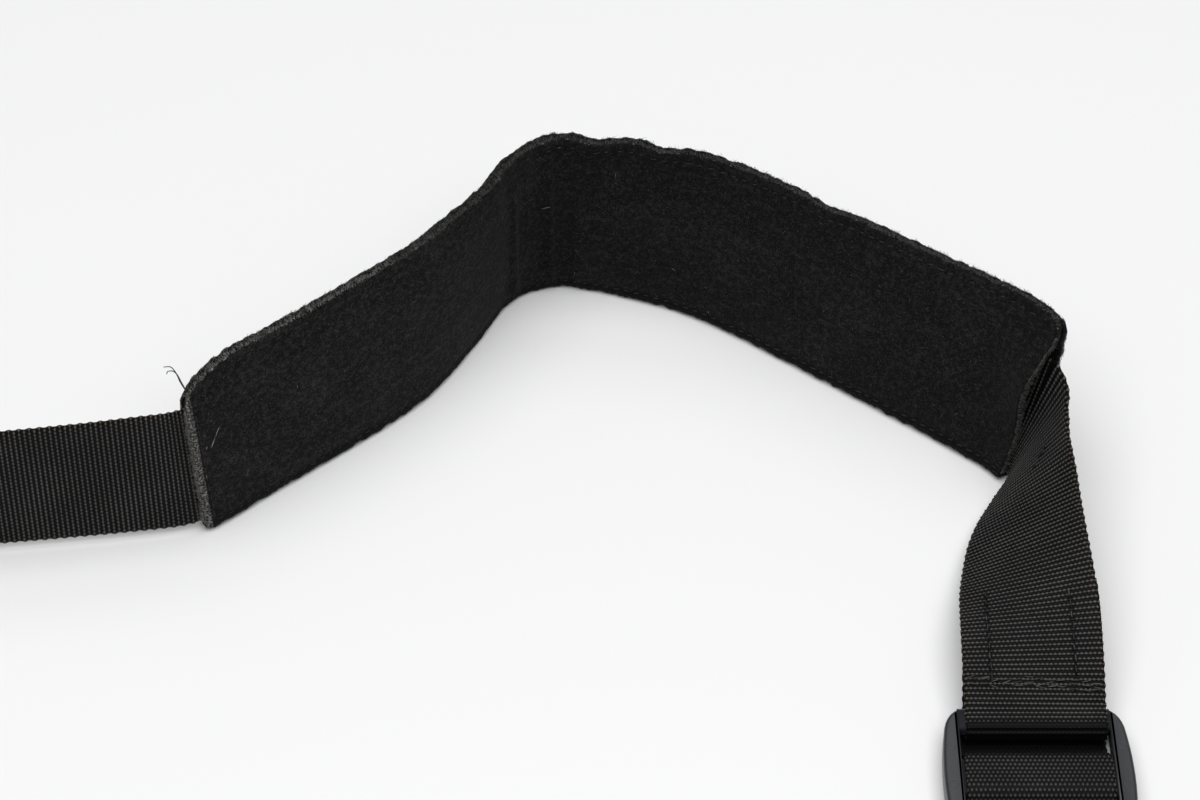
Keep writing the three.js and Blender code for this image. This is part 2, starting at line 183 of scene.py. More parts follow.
def mouth_push(along, across, mouth):
    """How far a layer stands off the webbing at the pad's right end."""
    up_the_end = hump(across - mouth["height"], mouth["spread"])
    return mouth["push"] * up_the_end * hump(PAD_LENGTH - along, mouth["reach"])


def soft_lumps(along, across, size, seed):
    """Low uneven swells of that size, between about -1 and 1."""
    pick = np.random.default_rng(seed)
    total = 0 * along
    for _ in range(9):
        turn = pick.uniform(0, math.tau)
        wave = size * pick.uniform(0.7, 1.5)
        phase = pick.uniform(0, math.tau)
        ahead = along * math.cos(turn) + across * math.sin(turn)
        total = total + np.sin(math.tau * ahead / wave + phase)
    return total / 3.6


def pad_outline(along):
    """How far up the layer starts and ends at a distance along the pad."""
    from_right = PAD_LENGTH - along
    low = np.maximum(corner_cut(along, LOW_CORNER), corner_cut(from_right, LOW_CORNER))
    top = PAD_WIDTH - np.maximum(corner_cut(along, LEFT_TOP), corner_cut(from_right, RIGHT_TOP))
    return low, top


def edge_distance(along, across):
    """How far inside the cut edge a place is; the webbing's way out at the right end has no seam."""
    low, top = pad_outline(along)
    from_right = PAD_LENGTH - along + 9 * hump(across - 22, 16)
    return np.minimum(np.minimum(across - low, top - across), np.minimum(along, from_right))


def layer_points(side, along, share, depth):
    """A layer's points: side 1 outer or -1 inner, share of the width, depth 0 inside to 1 napped."""
    along = np.asarray(along, float)
    low, top = pad_outline(along)
    across = share * PAD_WIDTH
    across = np.where(across < 8, low + across * (8 - low) / 8, across)
    across = np.where(across > KNEE, KNEE + (across - KNEE) * (top - KNEE) / (PAD_WIDTH - KNEE), across)
    inside = edge_distance(along, across)
    dip = SEAM_DIP * hump(inside - STITCH_INSET, 1.0)
    rim = 1 - smoothstep(inside, 0.3, 3.5)
    ragged = 0.26 * soft_lumps(along, across, 4.2, 5 + side) + 0.2 * soft_lumps(along, across, 2.2, 9 + side)
    lumps = 0.1 * soft_lumps(along, across, 9, 20 + side) + 0.05 * soft_lumps(along, across, 3.5, 40 + side)
    pinched = RIM_SHARE + (1 - RIM_SHARE) * smoothstep(inside, -0.2, 1.6)
    thick = (PAD_LAYER * pinched + lumps - dip) * depth
    outwards = side * (half_gap(across) + thick)
    if side < 0:
        outwards = outwards - inner_push(along, across)
    else:
        outwards = outwards + mouth_push(along, across, OUTER_MOUTH)
    lean = np.radians(lean_at(along))
    across = np.where(share <= 0, across + outwards * np.tan(lean), across + ragged * rim)
    return strap_points(along, across, outwards), across


def store_cloth_map(mesh, along, across):
    """The flat cloth's own map, in metres along and across it."""
    corner = np.zeros(len(mesh.loops), np.int32)
    mesh.loops.foreach_get("vertex_index", corner)
    flat = np.stack([along[corner], across[corner]], -1) * 0.001
    mesh.uv_layers.new(name="cloth").data.foreach_set("uv", flat.astype(np.float32).ravel())


def store_amount(mesh, name, amount):
    mesh.attributes.new(name, "FLOAT", "POINT").data.foreach_set("value", amount.astype(np.float32))


def as_mesh(bm, name):
    mesh = bpy.data.meshes.new(name)
    bm.to_mesh(mesh)
    bm.free()
    return mesh


def corners_of(mesh):
    flat = np.zeros(len(mesh.vertices) * 3)
    mesh.vertices.foreach_get("co", flat)
    return flat.reshape(-1, 3)


def on_root(name, mesh):
    piece = bpy.data.objects.new(name, mesh)
    bpy.context.scene.collection.objects.link(piece)
    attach(piece, "root")
    return piece


def slab(columns, rows):
    """A flat slab of columns x rows cells and two sheets, its corners numbered (i, j, sheet)."""
    bm = bmesh.new()
    bmesh.ops.create_grid(bm, x_segments=columns, y_segments=rows, size=1)
    made = bmesh.ops.extrude_face_region(bm, geom=bm.faces[:], use_keep_orig=True)
    lifted = [v for v in made["geom"] if isinstance(v, bmesh.types.BMVert)]
    bmesh.ops.translate(bm, verts=lifted, vec=(0, 0, 1))
    bmesh.ops.recalc_face_normals(bm, faces=bm.faces)
    mesh = as_mesh(bm, "slab")
    flat = corners_of(mesh)
    i = np.round((flat[:, 0] + 1) / 2 * columns).astype(int)
    j = np.round((flat[:, 1] + 1) / 2 * rows).astype(int)
    return mesh, i, j, np.round(flat[:, 2])


def finished_piece(name, mesh, points):
    """Puts the mesh's corners in place, faces it outwards, and makes it a piece on the root."""
    mesh.vertices.foreach_set("co", points.astype(np.float32).ravel())
    bm = bmesh.new()
    bm.from_mesh(mesh)
    bmesh.ops.recalc_face_normals(bm, faces=bm.faces)
    bm.to_mesh(mesh)
    bm.free()
    mesh.polygons.foreach_set("use_smooth", np.ones(len(mesh.polygons), bool))
    mesh.name = name
    return on_root(name, mesh)


PAD_ROWS = 50


def pad_layer(name, side):
    # Columns stand closer where the pad bends and folds.
    places = np.concatenate([np.arange(0, 110), np.arange(110, 176, 0.5), np.linspace(176, PAD_LENGTH, 112)])
    columns = len(places) - 1
    mesh, i, j, sheet = slab(columns, PAD_ROWS)
    along, share = places[i], j / PAD_ROWS
    # The ring next to the edge stands close to it, so that the cut edge is rounded and not sloped.
    end_ring = np.minimum(i, columns - i) == 0
    side_ring = np.minimum(j, PAD_ROWS - j) == 0
    along = along + end_ring * np.where(i == 0, ROUND_EDGE, -ROUND_EDGE) * (sheet == 1)
    inset = side_ring * np.where(j == 0, 1, -1) * (sheet == 1) * ROUND_EDGE / PAD_WIDTH
    points, across = layer_points(side, along, share + inset, sheet)
    inside = edge_distance(along, across)
    piece = finished_piece(name, mesh, placed(points))
    store_cloth_map(mesh, along, across)
    # The pale cut shows as a thin line along the rim, partly the foam's own colour and partly painted
    # rim light. At the left end the margin outside the seam is rubbed grey too. It is dark low down and
    # where the webbing leaves.
    # Painted light: the rim is a little paler on the pad's left part, where more light falls.
    lit_left_part = 1 - smoothstep(along, 25, 80)
    napped_rim = (1 - smoothstep(inside, 0.1, 0.9)) * (0.85 + 0.15 * lit_left_part)
    cut_edge = napped_rim * (0.25 + 0.75 * smoothstep(across, 3, 12))
    left_margin = 0.85 * (1 - smoothstep(along, 1.9, 3.0))
    cut_edge = np.maximum(cut_edge, left_margin) * np.where(sheet == 1, 1, 0.15)
    cut_edge = cut_edge * np.where(along > PAD_LENGTH - 4, smoothstep(across, 18, 32), 1)
    store_amount(mesh, "cut_edge", cut_edge)
    return piece


class Shade:
    """One output of a material's nodes. Sums and products on it add Math nodes."""

    def __init__(self, tree, socket=None):
        self.tree, self.socket = tree, socket

    def node(self, kind, settings, inputs, out=0):
        """Adds a node of that kind, sets it, then gives its inputs their values or links."""
        made = self.tree.nodes.new("ShaderNode" + kind)
        for name, value in settings.items():
            setattr(made, name, value)
        for name, value in inputs.items():
            if isinstance(value, Shade):
                self.tree.links.new(value.socket, made.inputs[name])
            else:
                made.inputs[name].default_value = value
        return Shade(self.tree, made.outputs[out])

    def math(self, operation, *values):
        return self.node("Math", {"operation": operation}, dict(enumerate(values)))

    def __add__(self, other):
        return self.math("ADD", self, other)

    def __sub__(self, other):
        return self.math("SUBTRACT", self, other)

    def __rsub__(self, other):
        return self.math("SUBTRACT", other, self)

    def __mul__(self, other):
        return self.math("MULTIPLY", self, other)

    __radd__ = __add__
    __rmul__ = __mul__

    def between(self, low, high):
        """0 below low, 1 above high, smooth between them."""
        settings = {"interpolation_type": "SMOOTHSTEP"}
        return self.node("MapRange", settings, {"Value": self, "From Min": low, "From Max": high})

    def tint(self, first, second):
        """The first colour where this is 0, the second where it is 1."""
        first = first if isinstance(first, Shade) else (*first, 1)
        second = second if isinstance(second, Shade) else (*second, 1)
        return self.node("Mix", {"data_type": "RGBA"}, {0: self, 6: first, 7: second}, out=2)

    def noise(self, place, scale, detail=2, rough=0.5):
        inputs = {"Vector": place, "Scale": scale, "Detail": detail, "Roughness": rough}
        return self.node("TexNoise", {}, inputs)


def new_material(name):
    """A bare material: its maker of nodes, and its Principled shader."""
    made = bpy.data.materials.new(name)
    made.use_nodes = True
    made.node_tree.nodes.clear()
    shader = made.node_tree.nodes.new("ShaderNodeBsdfPrincipled")
    output = made.node_tree.nodes.new("ShaderNodeOutputMaterial")
    made.node_tree.links.new(shader.outputs[0], output.inputs[0])
    return made, Shade(made.node_tree), shader


def give(shader, **inputs):
    """Gives a shader's inputs their values or links, by names with _ for a space."""
    for name, value in inputs.items():
        socket = shader.inputs[name.replace("_", " ")]
        if isinstance(value, Shade):
            value.tree.links.new(value.socket, socket)
        else:
            socket.default_value = value


NAP = (0.004, 0.004, 0.004)
NAP_WORN = (0.04, 0.04, 0.039)
FOAM_DARK = (0.022, 0.021, 0.02)
FOAM_PALE_AND_RIM_LIGHT = (0.3, 0.292, 0.275)


def napped_cloth():
    """Short black velvet: mottled by its nap, worn greyer in patches, painted lighter on the pad's left
    part as light, with pale foam at the cut that is partly painted rim light.
    """
    made, maker, shader = new_material("napped_cloth")
    flat = maker.node("UVMap", {"uv_map": "cloth"}, {})
    edge = maker.node("Attribute", {"attribute_name": "cut_edge"}, {}, out=2)
    patches = maker.noise(flat, 55, 3).between(0.42, 0.72)
    nap = maker.noise(flat, 1500, 3, 0.7).between(0.35, 0.75)
    pile = maker.noise(flat, 620, 2, 0.6).between(0.35, 0.7)
    speck = maker.noise(flat, 2300, 2, 0.6).between(0.52, 0.7)
    streaks = maker.noise(flat, 240, 2).between(0.38, 0.7)
    worn = patches * 0.12 + streaks * 0.1 + pile * 0.32 + nap * 0.35 + speck * 0.5
    height = maker.node("SeparateXYZ", {}, {0: flat}, out=1)
    # The nap is darker in its lowest few millimetres, and painted lighter on the pad's left part, where more
    # light falls.
    margin = height.between(0.0027, 0.0042) * 0.75 + 0.25
    lit_left_half = 1.0 - maker.node("SeparateXYZ", {}, {0: flat}, out=0).between(0.06, 0.15)
    face = ((worn.between(0.1, 1.3) * (lit_left_half * 0.6 + 0.9)) * margin).tint(NAP, NAP_WORN)
    ragged = maker.noise(flat, 900, 3, 0.8)
    edge_shows = (edge + (ragged - 0.5) * 0.9).between(0.5, 0.95)
    # The pale foam colour is partly the foam's own and partly painted rim light.
    foam = (ragged * 0.5 + nap * 0.5).between(0.25, 0.75).tint(FOAM_DARK, FOAM_PALE_AND_RIM_LIGHT)
    give(shader, Base_Color=edge_shows.tint(face, foam), Roughness=0.95)
    give(shader, Sheen_Weight=0.03, Sheen_Roughness=0.4, Specular_IOR_Level=0.1)
    height = nap * 0.6 + pile * 0.6 + ragged * edge * 0.8
    give(shader, Normal=maker.node("Bump", {}, {"Height": height, "Strength": 0.8, "Distance": 0.00025}))
    return made


napped = napped_cloth()
for name, side, node in (
    ("inner_pad_layer", -1, "pad_inner_layer"),
    ("outer_pad_layer", 1, "pad_outer_layer"),
):
    layer = pad_layer(name, side)
    layer.data.materials.append(napped)
    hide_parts(node)

# ---- Loose pile on the pad ----
# Single fibres stand out of the nap, thickest along the cut edges, and paler lint clings to it.
# Each is a tapered hair of the same nylon as the pile, one small bent cone.
FIBRE_SIDES = 3
FIBRE_BEND = 0.35


def straight_fibre(segments):
    """One upright hair a millimetre long and wide at its foot, to be scaled for each copy."""
    bm = bmesh.new()
    bmesh.ops.create_cone(bm, cap_ends=True, segments=FIBRE_SIDES, radius1=1, radius2=0.35, depth=1)
    bmesh.ops.translate(bm, verts=bm.verts, vec=(0, 0, 0.5))
    uprights = [e for e in bm.edges if abs(e.verts[0].co.z - e.verts[1].co.z) > 0.5]
    bmesh.ops.subdivide_edges(bm, edges=uprights, cuts=segments - 1, use_grid_fill=True)
    bmesh.ops.triangulate(bm, faces=bm.faces)
    return as_mesh(bm, "fibre")


def scattered(name, master, roots, ups, leans, lengths, radii, tones):
    """Copies of a small upright shape, each rooted, turned, stretched and bent in its own way."""
    count = len(roots)
    corner = corners_of(master)
    side = np.cross(ups, leans)
    side /= np.linalg.norm(side, axis=1)[:, None]
    front = np.cross(side, ups)
    along = corner[None, :, 2:] * lengths[:, None, None]
    bend = FIBRE_BEND * corner[None, :, 2:] ** 2 * lengths[:, None, None]
    spread = radii[:, None, None]
    points = (
        roots[:, None, :]
        + ups[:, None, :] * along
        + front[:, None, :] * (bend + spread * corner[None, :, :1])
        + side[:, None, :] * spread * corner[None, :, 1:2]
    )
    triangles = np.array([list(p.vertices) for p in master.polygons])
    faces = (triangles[None] + (np.arange(count) * len(corner))[:, None, None]).reshape(-1, 3)
    mesh = bpy.data.meshes.new(name)
    mesh.from_pydata(placed(points.reshape(-1, 3)).tolist(), [], faces.tolist())
    mesh.polygons.foreach_set("use_smooth", np.ones(len(mesh.polygons), bool))
    store_amount(mesh, "tone", np.repeat(tones, len(corner)))
    return on_root(name, mesh)


def fibre_material(name, dark, pale):
    made, maker, shader = new_material(name)
    tone = maker.node("Attribute", {"attribute_name": "tone"}, {}, out=2)
    give(shader, Base_Color=tone.tint(dark, pale), Roughness=0.8, Specular_IOR_Level=0.25)
    return made


def face_directions(side, along, share):
    """Points on a layer's napped face, and the way the face looks there."""
    step = 0.4
    here, _ = layer_points(side, along, share, np.ones_like(along))
    ahead, _ = layer_points(side, along + step, share, np.ones_like(along))
    above, _ = layer_points(side, along, share + step / PAD_WIDTH, np.ones_like(along))
    look = side * np.cross(above - here, ahead - here) * -1
    look /= np.linalg.norm(look, axis=1)[:, None]
    return here, look, (ahead - here) / step, (above - here) / step


hair, short_hair = straight_fibre(2), straight_fibre(1)
pile_material = fibre_material("pile_fibre", (0.008, 0.008, 0.008), (0.13, 0.128, 0.124))
fuzz_material = fibre_material("edge_fuzz", (0.012, 0.012, 0.012), (0.33, 0.32, 0.3))
lint_material = fibre_material("lint", (0.12, 0.12, 0.115), (0.6, 0.6, 0.58))


def pile_over(name, side, face_count, edge_count, lint_count):
    pick = np.random.default_rng(7 + side)
    # Over the face: hairs lie nearly flat, each its own way.
    along = pick.uniform(1.5, PAD_LENGTH - 1.5, face_count)
    share = pick.uniform(0.03, 0.97, face_count)
    roots, look, ahead, above = face_directions(side, along, share)
    turn = pick.uniform(0, math.tau, face_count)[:, None]
    flat = ahead * np.cos(turn) + above * np.sin(turn)
    ups = look * pick.uniform(0.15, 0.8, face_count)[:, None] + flat
    lengths = pick.gamma(4, 0.16, face_count).clip(0.25, 1.9)
    tones = pick.beta(1.2, 3.5, face_count)
    # Along the cut edges: hairs stick out past the edge, top and bottom and both ends.
    spot = pick.uniform(0, 1, edge_count)
    which = pick.choice(4, edge_count, p=(0.5, 0.2, 0.18, 0.12))
    on_top, below, at_left = which == 0, which == 1, which == 2
    between_ends = spot * (PAD_LENGTH - 3) + 1.5
    edge_along = np.select([on_top | below, at_left], [between_ends, 0.3 + 0 * spot], PAD_LENGTH - 0.3)
    edge_share = np.select([on_top, below], [0.993 + 0 * spot, 0.012 + 0 * spot], 0.03 + 0.94 * spot)
    depth = pick.uniform(0.1, 1, edge_count)
    edge_roots, _ = layer_points(side, edge_along, edge_share, depth)
    _, e_look, e_ahead, e_above = face_directions(side, edge_along, edge_share)
    places = [on_top[:, None], below[:, None], at_left[:, None]]
    past = np.select(places, [e_above, 0.25 * e_above, -e_ahead], e_ahead)
    e_ups = past * pick.uniform(0.5, 1.1, edge_count)[:, None]
    e_ups += e_look * pick.uniform(0.1, 0.9, edge_count)[:, None]
    e_ups += e_ahead * pick.normal(0, 0.5, edge_count)[:, None]
    e_lengths = pick.gamma(5, 0.15, edge_count).clip(0.3, 1.8)
    e_tones = pick.beta(1.6, 1.8, edge_count)
    # Painted light: the edge fuzz is paler on the pad's left part, where more light falls; along the bottom
    # it is darker.
    e_tones = np.where(below, 0.15, 0.45 + 0.55 * (edge_along < 70)) * e_tones
    for kind, master, material, starts, ways, reach, shade, thin, thick in (
        ("_pile", short_hair, pile_material, roots, ups, lengths, tones, 0.045, 0.09),
        ("_edge_fuzz", hair, fuzz_material, edge_roots, e_ups, e_lengths, e_tones, 0.045, 0.085),
    ):
        ways = ways / np.linalg.norm(ways, axis=1)[:, None]
        keep = (starts + ways * reach[:, None])[:, 2] > 0.1
        leans, radii = pick.normal(0, 1, ways.shape), pick.uniform(thin, thick, len(starts))
        kept = [row[keep] for row in (starts, ways, leans, reach, radii, shade)]
        hairs = scattered(name + kind, master, *kept)
        hairs.data.materials.append(material)
    # Lint: a few pale specks and curls.
    along = pick.uniform(3, PAD_LENGTH - 3, lint_count)
    share = pick.uniform(0.06, 0.94, lint_count)
    roots, look, ahead, above = face_directions(side, along, share)
    turn = pick.uniform(0, math.tau, lint_count)[:, None]
    ups = look * 0.12 + ahead * np.cos(turn) + above * np.sin(turn)
    ups /= np.linalg.norm(ups, axis=1)[:, None]
    lint = scattered(
        name + "_lint", hair, roots + look * 0.12, ups, pick.normal(0, 1, ups.shape),
        pick.gamma(2.2, 0.4, lint_count).clip(0.2, 2.6), pick.uniform(0.03, 0.075, lint_count),
        pick.beta(1, 1.6, lint_count),
    )  # fmt: skip
    lint.data.materials.append(lint_material)


pile_over("inner", -1, 21000, 12000, 330)
pile_over("outer", 1, 9000, 7000, 220)

# ---- Edge seam of the pad ----
# One row of lockstitches in dark thread runs round the pad a little inside its cut edge, sunk so
# deep in the nap that only some stitches glint; that glint is painted into their colour. It stops
# where the webbing leaves at the right.
STITCH_PITCH = 3.1
STITCH_LENGTH = 2.3
THREAD = 0.34


def stitch_mesh():
    """One stitch: a short round-ended thread, a millimetre long and wide, along its own z."""
    bm = bmesh.new()
    bmesh.ops.create_uvsphere(bm, u_segments=8, v_segments=6, radius=0.5)
    bmesh.ops.translate(bm, verts=bm.verts, vec=(0, 0, 0.5))
    bmesh.ops.triangulate(bm, faces=bm.faces)
    return as_mesh(bm, "stitch")


def thread_material(name, dark, pale):
    """Twisted nylon thread: fine slanting strands."""
    made, maker, shader = new_material(name)
    place = maker.node("TexCoord", {}, {}, out=3)
    tone = maker.node("Attribute", {"attribute_name": "tone"}, {}, out=2)
    strand = maker.noise(place, 4200, 1)
    give(shader, Base_Color=tone.tint(dark, pale), Roughness=0.5, Specular_IOR_Level=0.4)
    give(shader, Normal=maker.node("Bump", {}, {"Height": strand, "Strength": 0.5, "Distance": 0.0001}))
    return made


stitch = stitch_mesh()
pad_thread = thread_material("pad_thread", (0.004, 0.004, 0.004), (0.09, 0.087, 0.083))


def seam_places():
    """Where the seam's stitches start: along, share of the width, and which way each runs."""
    top_run = np.arange(9, PAD_LENGTH - 7, STITCH_PITCH)
    low_run = np.arange(4, PAD_LENGTH - 3, STITCH_PITCH)
    up_run = np.arange(4.5, PAD_WIDTH - 11, STITCH_PITCH)
    _, top = pad_outline(top_run)
    top_across = top - STITCH_INSET
    spread_out = KNEE + (top_across - KNEE) * (PAD_WIDTH - KNEE) / (top - KNEE)
    top_share = np.where(top_across > KNEE, spread_out, top_across) / PAD_WIDTH
    along = np.concatenate([top_run, low_run, np.full(len(up_run), STITCH_INSET)])
    share = np.concatenate([top_share, np.full(len(low_run), STITCH_INSET / PAD_WIDTH), up_run / PAD_WIDTH])
    upright = np.concatenate([np.zeros(len(top_run) + len(low_run)), np.ones(len(up_run))])
    return along, share, upright


for side, name in ((-1, "inner_edge_stitches"), (1, "outer_edge_stitches")):
    pick = np.random.default_rng(60 + side)
    along, share, upright = seam_places()
    roots, look, ahead, above = face_directions(side, along, share)
    ups = np.where(upright[:, None] > 0, above, ahead) + look * pick.normal(0, 0.05, len(along))[:, None]
    ups /= np.linalg.norm(ups, axis=1)[:, None]
    sunk = pick.uniform(0.2, 0.34, len(along))[:, None]
    thread_count = len(along)
    # Only where the pad bends most have the upper row's stitches stayed on top of the nap; they are
    # painted paler there, as glinting thread.
    lies_high = (abs(along - 146) < 17) & (share > 0.8) & (pick.uniform(0, 1, thread_count) < 0.7)
    tones = np.where(lies_high, pick.uniform(0.5, 1, thread_count), 0.03 * pick.beta(0.6, 3, thread_count))
    roots = roots + look * 0.3 * lies_high[:, None]
    seam = scattered(
        name, stitch, roots - look * sunk, ups, look, np.full(thread_count, STITCH_LENGTH),
        np.full(thread_count, THREAD), tones,
    )  # fmt: skip
    seam.data.materials.append(pad_thread)

# ---- Strap webbing ----
# One length of 38 mm nylon webbing, plain-woven with heavy warp ends, so both faces show rows of
# small oval floats, staggered from row to row. It runs between the pad's layers, twists flat,
# turns round the slider's upper bar and is sewn back under itself.
LEFT_WEB_LENGTH = 66
RIB = 1.33  # one row of floats
FLOAT = 1.19  # one float, across the webbing
FLOAT_HEIGHT = 0.38
CHECKER = 0.08  # how much the floats of one row reach in between those of the next
SELVEDGE = 0.9
OUTER_BAR = {"width": 7, "thick": 3.4, "z": 5.6}
CENTRE_BAR = {"width": 11, "thick": 3.4, "z": 5}
BAR_SLACK = 0.15
SLIDER_LENGTH = 44
SEWN_LENGTH = 36
LOOP_SHIFT = 0.5  # the loop lies a little to the right in the slider's slot
PULLED_SHARE = 0.945  # of its width, where it is pulled narrow towards the slider
# The free stretch's middle from the foot of the pad's right end, with its heading and lean.
FREE_RUN = (
    (7.2, -1.8, 20.1, -75, 20), (6.2, -7.8, 19.4, -95, 23), (4.1, -15.5, 18.4, -101, 31),
    (2.4, -23.5, 17.7, -100, 41), (1, -33, 17.2, -97, 51), (0.3, -43, 17.1, -94, 60),
    (0, -53, 17.1, -91, 70), (0.1, -62, 16.4, -90, 79), (0.1, -70, 15, -89, 84),
    (0.1, -78.5, 12.5, -90, 88), (0, -86, 9.7, -90, 90),
)  # fmt: skip
FLAT_WIDTH = np.array([1.0, 0, 0])


def smooth_line(points, places):
    """Points at places from 0 to 1 on a smooth line through the given points, in any dimension."""
    points = np.asarray(points, float)
    points = np.concatenate([[2 * points[0] - points[1]], points, [2 * points[-1] - points[-2]]])
    spans = len(points) - 3
    i = np.minimum((np.asarray(places) * spans).astype(int), spans - 1)
    w = (np.asarray(places) * spans - i)[:, None]
    p0, p1, p2, p3 = (points[i + k] for k in range(4))
    d0, d1, d2 = (np.sqrt(np.linalg.norm(b - a, axis=1))[:, None] for a, b in ((p0, p1), (p1, p2), (p2, p3)))
    d1 = np.where(d1 < 1e-4, 1, d1)
    d0, d2 = np.where(d0 < 1e-4, d1, d0), np.where(d2 < 1e-4, d1, d2)
    leave = ((p1 - p0) / d0 - (p2 - p0) / (d0 + d1) + (p2 - p1) / d1) * d1
    arrive = ((p2 - p1) / d1 - (p3 - p1) / (d1 + d2) + (p3 - p2) / d2) * d1
    square, cube = 3 * (p2 - p1) - 2 * leave - arrive, 2 * (p1 - p2) + leave + arrive
    return p1 + leave * w + square * w**2 + cube * w**3


def squared(middles, widths):
    """Width and outward directions, squared to the way the webbing runs."""
    run = np.gradient(middles, axis=0)
    run /= np.linalg.norm(run, axis=1)[:, None]
    widths = widths - run * np.sum(widths * run, axis=1)[:, None]
    widths /= np.linalg.norm(widths, axis=1)[:, None]
    return widths, np.cross(widths, run)


def side_view(points, count, shift=0.0):
    """Middles of a flat-lying webbing from its side view: y along it, z up; shifted to the right."""
    line = smooth_line([(slider_middle[0] + shift, y, z) for y, z in points], np.linspace(0, 1, count))
    line[:, 2] = np.maximum(line[:, 2], WEB_THICK / 2)
    return line


upper_bar_y = slider_middle[1] + (SLIDER_LENGTH - OUTER_BAR["width"]) / 2
web_middle = WEB_LOW + WEB_WIDTH / 2


def free_stretch():
    """From the pad's end, untwisting, to the crest over the upper bar."""
    start = np.array([PAD_LENGTH - 12.0, PAD_LENGTH])
    start_width, _ = directions(heading_at(start), lean_at(start))
    rows = np.array(FREE_RUN, float)
    row_width, _ = directions(rows[:, 3], rows[:, 4])
    crest_z = OUTER_BAR["z"] + OUTER_BAR["thick"] / 2 + GAP + WEB_THICK / 2 + 0.2
    crest = np.array([[slider_middle[0] + LOOP_SHIFT, upper_bar_y + 0.5, crest_z]])
    inside_pad = strap_points(start, np.full(2, web_middle), np.zeros(2))
    middles = np.concatenate([inside_pad, pad_end + rows[:, :3], crest])
    widths = np.concatenate([start_width, row_width, [FLAT_WIDTH]])
    places = np.linspace(1 / (len(middles) - 1), 1, 260)
    return smooth_line(middles, places), smooth_line(widths, places)


def sewn_loop(middles, widths):
    """Round the upper bar, then back under the free stretch for the sewn length."""
    radius = OUTER_BAR["thick"] / 2 + GAP + BAR_SLACK + WEB_THICK / 2
    centre_y = upper_bar_y - OUTER_BAR["width"] / 2 + OUTER_BAR["thick"] / 2
    turn = [
        (centre_y - radius * math.sin(a), OUTER_BAR["z"] + radius * math.cos(a))
        for a in np.radians(np.arange(20, 181, 20))
    ]
    square_widths, outs = squared(middles, widths)
    under = middles + outs * (WEB_THICK + GAP + 0.1)
    sewn = (under[:, 1] > upper_bar_y + 11.5) & (under[:, 1] < upper_bar_y + SEWN_LENGTH)
    under, under_widths = under[sewn][::-1], square_widths[sewn][::-1]
    first = under[0]
    rising = [
        (upper_bar_y + 2.8, OUTER_BAR["z"] - radius),
        (upper_bar_y + 6.1, OUTER_BAR["z"] - radius + 1.7),
        (first[1] - 2.6, first[2] - 2.4),
    ]
    back = side_view([*turn, *rising, (first[1], first[2])], 90, LOOP_SHIFT)[:-1]
    return np.concatenate([back, under]), np.concatenate([np.tile(FLAT_WIDTH, (len(back), 1)), under_widths])


free_middles, free_widths = free_stretch()
loop_middles, loop_widths = sewn_loop(free_middles, free_widths)
loose_middles = np.concatenate([free_middles, loop_middles])
loose_widths, loose_outs = squared(loose_middles, np.concatenate([free_widths, loop_widths]))
narrowing = np.ones(len(loose_middles))
narrowing[: len(free_middles)] = smoothstep(np.linspace(1, 39, len(free_middles)), 6, 20)
loose_widths = loose_widths * (1 - (1 - PULLED_SHARE) * narrowing)[:, None]
loose_length = np.concatenate([[0], np.cumsum(np.linalg.norm(np.diff(loose_middles, axis=0), axis=1))])
FREE_LENGTH = loose_length[len(free_middles) - 1]
STANDING_LENGTH = LEFT_WEB_LENGTH + PAD_LENGTH
WEB_LENGTH = STANDING_LENGTH + loose_length[-1]


def along_line(places, lengths, columns):
    return np.stack([np.interp(places, lengths, columns[:, k]) for k in range(3)], -1)


def web_points(run, across, outwards):
    """Points of the strap webbing: along its whole length, across from its middle, outwards."""
    standing = strap_points(np.minimum(run, STANDING_LENGTH) - LEFT_WEB_LENGTH, web_middle + across, outwards)
    past = np.maximum(run - STANDING_LENGTH, 0)
    middle = along_line(past, loose_length, loose_middles)
    width = along_line(past, loose_length, loose_widths)
    out = along_line(past, loose_length, loose_outs)
    loose = middle + width * across[:, None] + out * outwards[:, None]
    return np.where((run <= STANDING_LENGTH)[:, None], standing, loose)


def float_height(run, across, rib, pitch, checker):
    """The plain weave's relief from 0 in a gap to 1 on a float, staggered from row to row."""
    row = np.round(run / rib)
    wave = np.cos(math.tau * (across / pitch + 0.5 * (row % 2)))
    from_crest = abs(run / rib - row)
    edge = checker * wave
    return (1 - smoothstep(from_crest, 0.12 + edge, 0.38 + edge)) * (1 - 2 * checker + 2 * edge)


def woven_columns(stretches):
    """Column places over stretches of (start, end, spacing)."""
    parts = [np.arange(start, end - spacing / 2, spacing) for start, end, spacing in stretches]
    return np.concatenate([*parts, [stretches[-1][1]]])


def woven_band(name, columns, width, thick, rib, pitch, checker, height, points_at, pulled_at, painted_shade_at):
    """A webbing of those column places, its floats raised, its selvedges rounded and scalloped."""
    floats = round(width / pitch)
    rows = 2 * floats
    mesh, i, j, sheet = slab(len(columns) - 1, rows)
    run = columns[i]
    across = width * (j / rows - 0.5)
    relief = float_height(run, across, rib, width / floats, checker)
    half = width / 2
    to_edge = np.clip((abs(across) - (half - SELVEDGE)) / SELVEDGE, 0, 1)
    rounding = 0.35 + 0.65 * np.sqrt(np.clip(1 - to_edge**2, 0, 1))
    scallop = 0.16 * np.cos(math.pi * run / rib) * (to_edge > 0.99)
    pulled_in_and_shade = pulled_at(run, across)
    surface = (thick / 2 - height * (1 - relief)) * rounding - 0.2 * pulled_in_and_shade
    outwards = np.where(sheet > 0, surface, -surface)
    points = points_at(run, across + np.sign(across) * scallop, outwards)
    piece = finished_piece(name, mesh, placed(points))
    store_cloth_map(mesh, run, across)
    store_amount(mesh, "pulled_in_and_shade", pulled_in_and_shade)
    store_amount(mesh, "painted_shade", painted_shade_at(run))
    return piece


